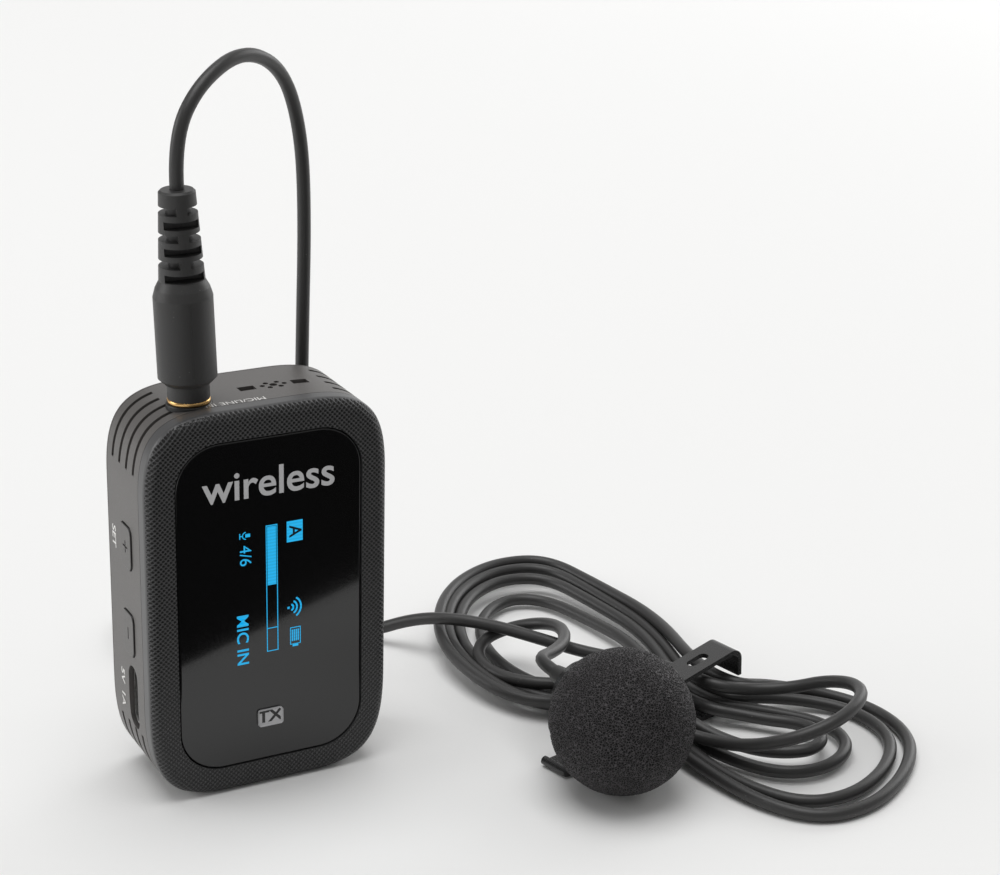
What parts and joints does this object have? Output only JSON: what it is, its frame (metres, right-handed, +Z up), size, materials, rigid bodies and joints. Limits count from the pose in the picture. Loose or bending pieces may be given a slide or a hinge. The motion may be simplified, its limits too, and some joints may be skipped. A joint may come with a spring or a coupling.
{
  "type": "wireless bodypack transmitter",
  "caption": "Pocket wireless audio transmitter with a display window, side keys and belt clip, and a clip-on microphone plugged in on its tied cord.",
  "frame": {"origin": "middle of the footprint of the pack with its belt clip, on the surface it stands on", "axes": "+X to the right across the display, +Y from the display to the belt clip, +Z up"},
  "size_m": [0.1187, 0.1218, 0.1107],
  "materials": {
    "band": "satin",
    "bezel": "fine crossed texture",
    "glass": "gloss",
    "display": "gloss",
    "inner_foam": "matte",
    "inner_plastic": "matte",
    "circuit": "satin",
    "ribbon": "satin",
    "steel": "satin",
    "black_steel": "satin black",
    "gold": "polished",
    "cell": "satin",
    "key": "satin",
    "plug_rubber": "matte",
    "cord": "matte",
    "windscreen": "open foam",
    "mic": "satin black"
  },
  "bodies": {
    "pack": {"front_bezel": "bezel", "display_window": "glass", "display_gasket": "inner_foam", "display_module": "display", "display_frame": "inner_plastic", "display_ribbon": "ribbon", "middle_band": "band", "rear_cover": "band", "cover_screws": "black_steel", "main_board": "circuit", "shield_can": "steel", "antenna": "steel", "battery": "cell", "battery_pad": "inner_foam", "usb_shell": "steel", "usb_tongue": "inner_plastic", "jack_socket": "inner_plastic", "jack_ring": "black_steel", "mic_mesh": "inner_foam", "mic_capsule": "steel", "clip_bracket": "black_steel", "clip_pin": "steel", "clip_spring": "steel", "left_key_board": "circuit", "right_key_board": "circuit", "plug_tip": "gold", "plug_insulators": "inner_plastic", "plug_ring": "gold", "plug_sleeve": "gold", "plug_moulding": "plug_rubber", "tie_clip_base": "black_steel", "tie_clip_pin": "steel", "tie_clip_spring": "steel", "mic_holder": "black_steel", "mic_body": "mic", "mic_grille": "mic", "mic_strain_relief": "plug_rubber", "foam_windscreen": "windscreen", "cord_lead": "cord", "cord_hank": "cord", "mic_lead": "cord", "plus_switch": "inner_plastic", "minus_switch": "inner_plastic", "power_switch": "inner_plastic"},
    "plus_key": {"plus_button": "key", "plus_plunger": "inner_plastic"},
    "minus_key": {"minus_button": "key", "minus_plunger": "inner_plastic"},
    "power_key": {"power_button": "key", "power_plunger": "inner_plastic"},
    "clip_arm": {"belt_clip": "black_steel"},
    "tie_jaw": {"tie_clip_jaw": "black_steel"}
  },
  "joints": [
    {"name": "plus_press", "type": "slide", "parent": "pack", "child": "plus_key", "axis": [1, 0, 0], "range_m": [0, 0.0003], "stiffness_N_per_m": 600, "springref_m": -0.0005},
    {"name": "minus_press", "type": "slide", "parent": "pack", "child": "minus_key", "axis": [1, 0, 0], "range_m": [0, 0.0003], "stiffness_N_per_m": 600, "springref_m": -0.0005},
    {"name": "power_press", "type": "slide", "parent": "pack", "child": "power_key", "axis": [-1, 0, 0], "range_m": [0, 0.0003], "stiffness_N_per_m": 600, "springref_m": -0.0005},
    {"name": "clip_hinge", "type": "hinge", "parent": "pack", "child": "clip_arm", "pos_m": [0, 0.0088, 0.05], "axis": [1, 0, 0], "range_deg": [0, 14], "stiffness_Nm_per_rad": 0.15, "springref_deg": -20.05},
    {"name": "tie_jaw_hinge", "type": "hinge", "parent": "pack", "child": "tie_jaw", "pos_m": [0.05025, -0.02505, 0.0043], "axis": [0.2267, -0.974, 0], "range_deg": [0, 12], "stiffness_Nm_per_rad": 0.03, "springref_deg": -28.65}
  ]
}
